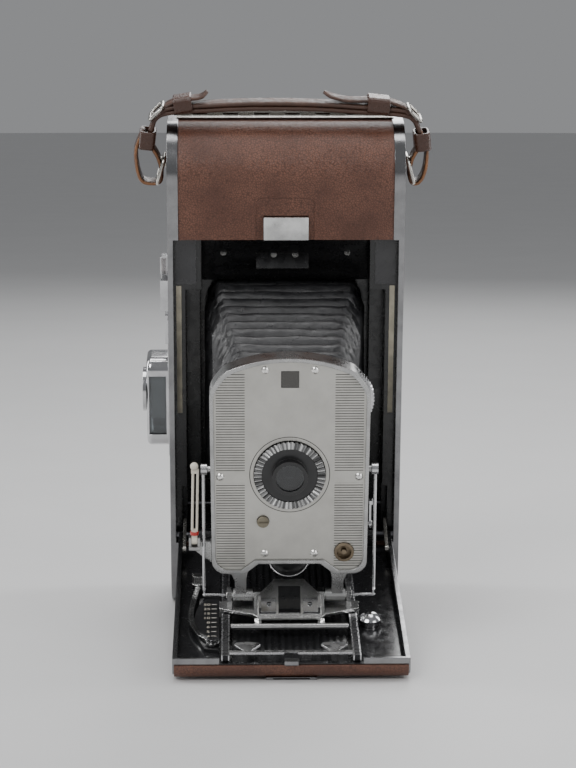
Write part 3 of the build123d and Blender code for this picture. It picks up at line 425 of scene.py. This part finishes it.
GLOSS_BLACK = enamel("gloss_black", (0.007, 0.007, 0.0075), 0.1, (0.05, 0.05, 0.05), 0.008)
SATIN_BLACK = enamel("satin_black", (0.0065, 0.0065, 0.007), 0.3, (0.14, 0.13, 0.12))
# The screws and rivets are nickel; this much paler copy is painted light, standing in for their highlights.
RIVET_PAINTED_LIGHT = metal("rivet_painted_light", (0.88, 0.87, 0.84), 0.2, 0.36)
GREY = enamel("grey_panel", (0.022, 0.022, 0.024), 0.2, (0.3, 0.3, 0.3))
CREAM = enamel("cream_enamel", (0.62, 0.58, 0.49), 0.2, (0.35, 0.3, 0.24), 0.02, 0.2)
RED = enamel("red_enamel", (0.42, 0.022, 0.016), 0.2, (0.16, 0.03, 0.02), 0.02, 0.2)
BODY_LEATHER = leather("brown_leather", LEATHER_DARK, LEATHER_LIGHT)
BELLOWS_LEATHER = bellows_leather()
STRAP_LEATHER = strap_leather("strap_leather", (0.030, 0.012, 0.007), (0.082, 0.034, 0.019),
                              (0.050, 0.022, 0.013), 0.4)
END_LEATHER = strap_leather("strap_end_leather", (0.030, 0.013, 0.008), (0.085, 0.040, 0.023),
                            (0.26, 0.115, 0.045))
KEEPER_LEATHER = strap_leather("keeper_leather", (0.030, 0.011, 0.007), (0.088, 0.036, 0.022),
                               (0.05, 0.022, 0.014), 0.2)

FINISHES = [
    (BODY_LEATHER, ("side_leathers", "end_leathers", "back_leather", "bed_leather", "print_door_leather")),
    (SHELL_METAL, ("side_frames", "back_cover", "print_door", "bed_rim")),
    (CHROME, ("finder_housing", "finder_base", "finder_dial", "exposure_wheel", "shutter_lever",
              "tripod_boss", "release_tab_left", "release_tab_right")),
    (RIVET_PAINTED_LIGHT, ("body_screws", "plate_screws")),
    (CHROME_PAINTED_LIGHT, ("carriage", "focus_lever", "latch_button")),
    (NICKEL, ("side_socket", "top_hinge", "strap_lugs", "cover_hinges",
              "print_latch", "brace_left", "brace_right", "strap_rings", "strap_buckles")),
    (STEEL, ("roller_front", "roller_back", "side_wires")),
    (rail_steel(), ("focus_tracks",)),
    (segmented_ring(), ("lens_ring",)),
    (DARK_STEEL, ("body_rods", "pressure_plate")),
    (HOUSING, ("standard_housing",)),
    (BLACK, ("body_shell", "film_gate", "bed_pan")),
    (GLOSS_BLACK, ("carriage_block",)),
    (SATIN_BLACK, ("lens_barrel",)),
    (ribbed_black(), ("bed_liner",)),
    (scale_plate(), ("focus_scale",)),
    (GREY, ("recess_panels",)),
    (felt_strip("cream_strip", (0.60, 0.55, 0.43)), ("seal_strips",)),
    (satin_plate(), ("face_plate",)),
    (glass("clear_glass", (0.30, 0.32, 0.33), 0.03), ("finder_glass",)),
    (glass("lens_glass", (0.13, 0.145, 0.165), 0.015, 1.0, 1.6), ("lens_glass",)),
    (glass("smoked_window", (0.10, 0.095, 0.085), 0.12, 0.5), ("window_glass",)),
    (BRASS, ("flash_socket",)),
    (AGED_NICKEL, ("mode_knob",)),
    (CREAM, ("sight_post",)),
    (RED, ("sight_collar",)),
    (paper(), ("spool_upper", "spool_lower")),
    (BELLOWS_LEATHER, ("bellows",)),
    (STRAP_LEATHER, ("strap",)),
]


def finish_cad_nodes():
    for material, names in FINISHES:
        for name in names:
            node = frame["nodes"][name]
            node.data.materials.clear()
            node.data.materials.append(material)


# ------------------------------------------------------------------ making pieces
def piece(name, mesh, material, body, smooth=True):
    """An object from a bmesh whose points are already in the shared frame."""
    bmesh.ops.recalc_face_normals(mesh, faces=mesh.faces)
    data = bpy.data.meshes.new(name)
    mesh.to_mesh(data)
    mesh.free()
    for face in data.polygons:
        face.use_smooth = smooth
    data.materials.append(material)
    made = bpy.data.objects.new(name, data)
    bpy.context.scene.collection.objects.link(made)
    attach(made, body)
    return made


def skin_rings(mesh, rings, closed=True, caps=False):
    """Joins rings of points, each with the same count, into a tube."""
    rows = [[mesh.verts.new(point) for point in ring] for ring in rings]
    count = len(rows[0])
    last = count if closed else count - 1
    for here, there in zip(rows, rows[1:]):
        for k in range(last):
            mesh.faces.new((here[k], here[(k + 1) % count], there[(k + 1) % count], there[k]))
    if caps:
        mesh.faces.new(rows[0])
        mesh.faces.new(rows[-1])


def smooth_route(points, steps=10):
    """Catmull-Rom curve through given points of across and up."""
    points = [Vector(point) for point in points]
    padded = [points[0] * 2 - points[1]] + points + [points[-1] * 2 - points[-2]]
    curve = []
    for p0, p1, p2, p3 in zip(padded, padded[1:], padded[2:], padded[3:]):
        for k in range(steps):
            t = k / steps
            curve.append(0.5 * (2 * p1 + (p2 - p0) * t + (2 * p0 - 5 * p1 + 4 * p2 - p3) * t * t
                                + (3 * p1 - p0 - 3 * p2 + p3) * t * t * t))
    curve.append(points[-1])
    return curve


# ------------------------------------------------------------------ bellows
PLEATS = 13
ROWS_PER_PLEAT = 16
BELLOWS_BACK, BELLOWS_FRONT = -37.6, 87.6
FOLD = 2.5                                  # half the depth of a pleat
SLEEVE = 19.0                               # length of the plain throat at the front
# Each from the back of the bellows to its front
HALF_WIDTH = (39.2, 25.7)
LOW_EDGE = (55.8, 79.8)
HIGH_EDGE = (169.7, 158.7)


def pleat(phase):
    """Broad rounded ridges with narrow creases between them, from -1 to 1."""
    return 2 * abs(math.sin(math.pi * phase)) ** 0.62 - 1


def blend_value(share, low, high):
    return low + (high - low) * share


def bellows_ring(share):
    """One section. The side pleats turn in where those above and below stand out."""
    phase = share * PLEATS
    fore = blend_value(share, BELLOWS_BACK, BELLOWS_FRONT)
    end = min(1.0, share * 18, (1 - share) * 18)
    fold = pleat(phase) * FOLD * end
    half = blend_value(share, *HALF_WIDTH)
    low = blend_value(share, *LOW_EDGE) - fold
    high = blend_value(share, *HIGH_EDGE) + fold
    side = half - fold
    cut = 5.2 - 3.0 * pleat(phase) * end
    outline = []
    corners = [(side - cut, high), (side, high - cut), (side, low + cut), (side - cut, low),
               (-side + cut, low), (-side, low + cut), (-side, high - cut), (-side + cut, high)]
    counts = (3, 20, 3, 16, 3, 20, 3, 16)
    for (x0, z0), (x1, z1), count in zip(corners, corners[1:] + corners[:1], counts):
        for k in range(count):
            outline.append((blend_value(k / count, x0, x1), blend_value(k / count, z0, z1)))
    ring = []
    middle = (low + high) / 2
    for x, z in outline:
        corner = max(0.0, 1 - (abs(half - abs(x)) + min(abs(z - low), abs(z - high))) / 16)
        seed = Vector((x * 0.09, fore * 0.16, z * 0.09))
        wave = noise.noise(seed) * 0.55 + noise.noise(seed * 3.4) * (0.12 + 1.5 * corner)
        out_x, out_z = x / half, (z - middle) / (high - middle)
        size = math.hypot(out_x, out_z)
        slump = 0.35 * noise.noise(Vector((x * 0.05, fore * 0.4, z * 0.05)))
        ring.append(at(x + wave * out_x / size, fore + slump * end, z + wave * out_z / size))
    return ring


def bellows_skin():
    mesh = bmesh.new()
    rows = PLEATS * ROWS_PER_PLEAT
    skin_rings(mesh, [bellows_ring(k / rows) for k in range(rows + 1)])
    skin = piece("bellows_skin", mesh, BELLOWS_LEATHER, "body")
    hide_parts("bellows")
    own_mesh(skin)


def bellows_sleeve():
    """Plain leather throat on the standard, hidden in the bellows until the tracks run out."""
    half, low, high, corner = 21.4, 84.8, 153.6, 5.0
    section = []
    for x, z, start in ((half, high, 0), (-half, high, 90), (-half, low, 180), (half, low, 270)):
        middle_x = x - math.copysign(corner, x)
        middle_z = z - math.copysign(corner, z - LENS_UP)
        for step in range(7):
            angle = math.radians(start + 15 * step)
            section.append((middle_x + corner * math.cos(angle), middle_z + corner * math.sin(angle)))
    mesh = bmesh.new()
    ends = (BELLOWS_FRONT - 0.1, BELLOWS_FRONT - SLEEVE)
    skin_rings(mesh, [[at(x, fore, z) for x, z in section] for fore in ends])
    sleeve = piece("bellows_sleeve", mesh, BELLOWS_LEATHER, "standard")


# ------------------------------------------------------------------ strap
def strap_ribbon(name, route, width, thick, taper=0.0, tip=False, hide=STRAP_LEATHER):
    """Leather band along a route. Its long edges are rounded and a little wavy."""
    curve = smooth_route(route)
    rings = []
    for k, point in enumerate(curve):
        ahead = curve[min(k + 1, len(curve) - 1)] - curve[max(k - 1, 0)]
        normal = Vector((-ahead.y, ahead.x)).normalized()
        share = k / (len(curve) - 1)
        size = 1 - taper * share
        if tip:
            left = 1 - share
            size *= math.sqrt(min(1.0, left * 6 + 0.03))
        wobble = noise.noise(Vector((point.x * 0.12, point.y * 0.12, width)))
        ring = []
        for step in range(20):
            angle = 2 * math.pi * step / 20
            wide, high = math.cos(angle), math.sin(angle)
            across_band = math.copysign(abs(wide) ** 0.35, wide) * width / 2 * size * (1 + 0.035 * wobble)
            lift = math.copysign(abs(high) ** 0.6, high) * thick / 2
            curl = 0.35 * (across_band / width) ** 2
            rough = 0.12 * noise.noise(Vector((point.x * 0.5, across_band * 0.5, point.y * 0.5)))
            centre = point + normal * (lift + curl + rough)
            ring.append(at(centre.x, STRAP_FORE + across_band, centre.y))
        rings.append(ring)
    mesh = bmesh.new()
    skin_rings(mesh, rings, caps=True)
    band = piece(name, mesh, hide, "strap")
    return band


def strap_loop(name, across, up, turn, length, width=14.6, height=8.2):
    """Leather keeper: a closed loop of thin band round the strap."""
    mesh = bmesh.new()
    thick, steps = 1.1, 40
    direction = Vector((math.cos(turn), math.sin(turn)))
    normal = Vector((-direction.y, direction.x))
    shapes = ((-length / 2, 0.35), (-length / 2 + 0.5, 0.0), (length / 2 - 0.5, 0.0), (length / 2, 0.35),
              (length / 2, thick), (-length / 2, thick))
    rings = []
    for step in range(steps):
        angle = 2 * math.pi * step / steps
        wide, high = math.cos(angle), math.sin(angle)
        ring = []
        for along, inset in shapes:
            side = math.copysign(abs(wide) ** 0.45, wide) * (width / 2 - inset)
            lift = math.copysign(abs(high) ** 0.45, high) * (height / 2 - inset)
            slack = 0.25 * noise.noise(Vector((along * 0.3, side * 0.3, lift * 0.3)))
            centre = Vector((across, up)) + direction * along + normal * (lift + slack)
            ring.append(at(centre.x, STRAP_FORE + side, centre.y))
        rings.append(ring)
    rings.append(rings[0])
    skin_rings(mesh, rings)
    bmesh.ops.remove_doubles(mesh, verts=mesh.verts, dist=WELD)
    loop = piece(name, mesh, KEEPER_LEATHER, "strap", smooth=False)


def strap_end(side):
    """Loop of strap round the ring, its two strands meeting under a keeper."""
    lean = 1.0 if side > 0 else 1.06
    route = [(side * 66.2 * lean, 252), (side * 69.6 * lean, 243), (side * 69.0 * lean, 232),
             (side * 66.2 * lean, 226.2), (side * 62.6, 226.0), (side * 61.4, 231.0),
             (side * 62.6, 237.6), (side * 65.6, 243.4)]
    name = "strap_end_right" if side > 0 else "strap_end_left"
    strap_ribbon(name, route, 11.4, 2.0, hide=END_LEATHER)


def wire_loop(mesh, centre, along, size, radius):
    """A rounded loop of wire. Its centre and its first side are in across and up, the second is fore."""
    along = Vector(along).normalized()
    normal = Vector((-along.y, along.x))
    rings = []
    steps = 48
    for k in range(steps):
        angle = 2 * math.pi * k / steps
        wide, deep = math.cos(angle), math.sin(angle)
        spot = Vector((math.copysign(abs(wide) ** 0.4, wide) * size[0],
                       math.copysign(abs(deep) ** 0.4, deep) * size[1]))
        outward = Vector((wide * size[1], deep * size[0])).normalized()
        ring = []
        for step in range(10):
            turn = 2 * math.pi * step / 10
            here = spot + outward * radius * math.cos(turn)
            flat = Vector(centre) + along * here.x + normal * radius * math.sin(turn)
            ring.append(at(flat.x, STRAP_FORE + here.y, flat.y))
        rings.append(ring)
    rings.append(rings[0])
    skin_rings(mesh, rings)


def strap_metalwork():
    """Rounded wire buckles at the shoulders and wire rings on the lugs."""
    mesh = bmesh.new()
    wire_loop(mesh, (-63.6, 261.2), (1, 1), (4.4, 7.9), 0.95)
    wire_loop(mesh, (63.4, 260.2), (1, -1), (4.4, 7.9), 0.95)
    bmesh.ops.remove_doubles(mesh, verts=mesh.verts, dist=WELD)
    buckles = piece("strap_buckle_wire", mesh, NICKEL, "strap")
    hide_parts("strap_buckles")
    mesh = bmesh.new()
    for side in (-1, 1):
        wire_loop(mesh, (side * 61.6, 232.2), (side * 0.28, -1), (6.6, 7.6), 1.15)
    bmesh.ops.remove_doubles(mesh, verts=mesh.verts, dist=WELD)
    rings = piece("strap_ring_wire", mesh, NICKEL, "strap")
    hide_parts("strap_rings")


def carrying_strap():
    """Two layers over the top, an end round each ring, two free tails and four keepers."""
    lower = [(-66.4, 252), (-63.4, 258.6), (-56, 261.2), (-38, 262.3), (-20, 263.1), (0, 263.2),
             (20, 262.6), (38, 261.4), (56, 260.0), (62.6, 257.6), (66.2, 251)]
    upper = [(-60.6, 261.6), (-56, 263.4), (-38, 264.6), (-20, 265.4), (0, 265.5),
             (20, 264.9), (38, 263.7), (56, 262.2), (60.8, 260.4)]
    left_tail = [(-62.4, 259.4), (-58.6, 264.0), (-52, 266.9), (-46, 267.7), (-41.4, 268.5), (-38.4, 271.0)]
    right_tail = [(63.0, 258.8), (58.4, 263.4), (51, 266.1), (42, 266.9), (31, 266.9), (23, 268.6),
                  (18.6, 270.6)]
    main = strap_ribbon("carrying_strap", lower, 12.0, 2.5)
    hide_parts("strap")
    strap_ribbon("strap_upper_layer", upper, 11.6, 2.3)
    strap_end(-1)
    strap_end(1)
    strap_ribbon("strap_tail_left", left_tail, 11.0, 1.7, 0.12, True)
    strap_ribbon("strap_tail_right", right_tail, 11.0, 1.7, 0.12, True)
    strap_loop("strap_keeper_left", -50.5, 265.0, math.radians(9), 9.0)
    strap_loop("strap_keeper_right", 45.5, 264.5, math.radians(-6), 11.0)
    strap_loop("strap_band_left", -68.2, 247.4, math.radians(84), 9.0)
    strap_loop("strap_band_right", 67.4, 246.6, math.radians(-84), 9.0)
    strap_metalwork()


# ------------------------------------------------------------------ small fittings
def turned(mesh, profile, centre, axis, side, steps=48):
    """A body of revolution: profile of distance along the axis and radius, in millimetres."""
    other = axis.cross(side)
    rings = []
    for k in range(steps):
        angle = 2 * math.pi * k / steps
        out = side * math.cos(angle) + other * math.sin(angle)
        rings.append([centre + (axis * along + out * radius) * MM for along, radius in profile])
    rings.append(rings[0])
    skin_rings(mesh, rings, closed=False)
    bmesh.ops.remove_doubles(mesh, verts=mesh.verts, dist=WELD)


def fittings():
    """Dark cap with a bright rim, seen under the shutter plate between its legs."""
    centre = at(0, 90.4, 69.4)
    mesh = bmesh.new()
    turned(mesh, [(0.0, 0.001), (0.0, 4.0), (-0.5, 8.0), (-1.4, 9.5), (-2.2, 9.8), (-2.2, 0.001)],
           centre, FORE, ACROSS)
    cap = piece("shutter_cap", mesh, SATIN_BLACK, "standard")
    mesh = bmesh.new()
    turned(mesh, [(-0.9, 9.1), (0.0, 9.6), (-0.9, 10.2), (-2.0, 10.2), (-2.0, 9.1), (-0.9, 9.1)],
           centre, FORE, ACROSS)
    rim = piece("shutter_cap_rim", mesh, CHROME, "standard")


DISTANCES = ("50", "25", "15", "10", "8", "6", "5", "4")
DIGIT_HEIGHT = 3.4 * MM
FIRST_DIGIT_FORE, DIGIT_STEP = 80.3, 5.2


def scale_digits():
    """Plain distance numbers beside the ticks of the focusing scale."""
    turn = Matrix((ACROSS, FORE * -1, UP)).transposed()
    for k, text in enumerate(DISTANCES):
        place = at(-37.4, FIRST_DIGIT_FORE + k * DIGIT_STEP, SCALE_TICK_LOW + 0.01)
        curve = bpy.data.curves.new("digit", "FONT")
        curve.body, curve.size = text, DIGIT_HEIGHT
        curve.align_x, curve.align_y = "RIGHT", "CENTER"
        holder = bpy.data.objects.new("digit", curve)
        data = bpy.data.meshes.new_from_object(holder)
        data.name = f"scale_number_{k}"
        for vertex in data.vertices:
            vertex.co = place + turn @ Vector((vertex.co.x, vertex.co.y, 0))
        data.materials.clear()
        data.materials.append(CREAM)
        number = bpy.data.objects.new(f"scale_number_{k}", data)
        bpy.context.scene.collection.objects.link(number)
        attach(number, "bed")
        bpy.data.objects.remove(holder)


# ------------------------------------------------------------------ room, lights and camera
def floor():
    mesh = bmesh.new()
    bmesh.ops.create_circle(mesh, cap_ends=True, segments=96, radius=9)
    data = bpy.data.meshes.new("floor")
    mesh.to_mesh(data)
    mesh.free()
    look = Look("floor_paper")
    cloud = look.between(look.noise(90, 3), 0.3, 0.7)
    look.set(Base_Color=look.mix(cloud, (0.60, 0.60, 0.60), (0.62, 0.62, 0.62)), Roughness=0.55)
    data.materials.append(look.material)
    ground = bpy.data.objects.new("floor", data)
    bpy.context.scene.collection.objects.link(ground)


def softbox(name, place, aim, width, height, watts):
    light = bpy.data.lights.new(name, "AREA")
    light.shape = "RECTANGLE"
    light.size, light.size_y, light.energy = width, height, watts
    lamp = bpy.data.objects.new(name, light)
    lamp.location = place
    lamp.rotation_euler = (Vector(aim) - Vector(place)).to_track_quat("-Z", "Y").to_euler()
    bpy.context.scene.collection.objects.link(lamp)


def studio():
    middle = (0, 0, 0.14)
    softbox("key", (-0.75, -1.15, 1.15), middle, 0.8, 0.8, 15)
    softbox("fill", (0.95, -1.0, 0.55), middle, 0.6, 0.9, 6)
    softbox("overhead", (0, 0.05, 1.35), middle, 0.9, 0.7, 8)
    softbox("strip_left", (-0.95, 0.25, 0.4), middle, 0.25, 1.1, 6)
    softbox("strip_right", (0.95, 0.25, 0.4), middle, 0.25, 1.1, 6)
    softbox("rear", (0.3, 1.4, 1.0), middle, 0.8, 0.8, 9)
    world = bpy.data.worlds.new("studio")
    world.use_nodes = True
    background = world.node_tree.nodes["Background"]
    background.inputs["Color"].default_value = (0.74, 0.75, 0.77, 1)
    background.inputs["Strength"].default_value = 0.36
    bpy.context.scene.world = world


CAMERA_PLACE = (-0.0247, -1.1872, 0.2779)
CAMERA_DOWN, CAMERA_TURN = 7.45, 1.235      # degrees
CAMERA_LENS = 114.3                         # millimetres


def camera():
    data = bpy.data.cameras.new("camera")
    data.lens = CAMERA_LENS
    data.clip_start, data.clip_end = 0.05, 30
    view = bpy.data.objects.new("camera", data)
    view.location = CAMERA_PLACE
    view.rotation_euler = (math.radians(90 - CAMERA_DOWN), 0, -math.radians(CAMERA_TURN))
    bpy.context.scene.collection.objects.link(view)
    bpy.context.scene.camera = view


camera()
floor()
studio()
finish_cad_nodes()
bellows_skin()
bellows_sleeve()
carrying_strap()
fittings()
scale_digits()
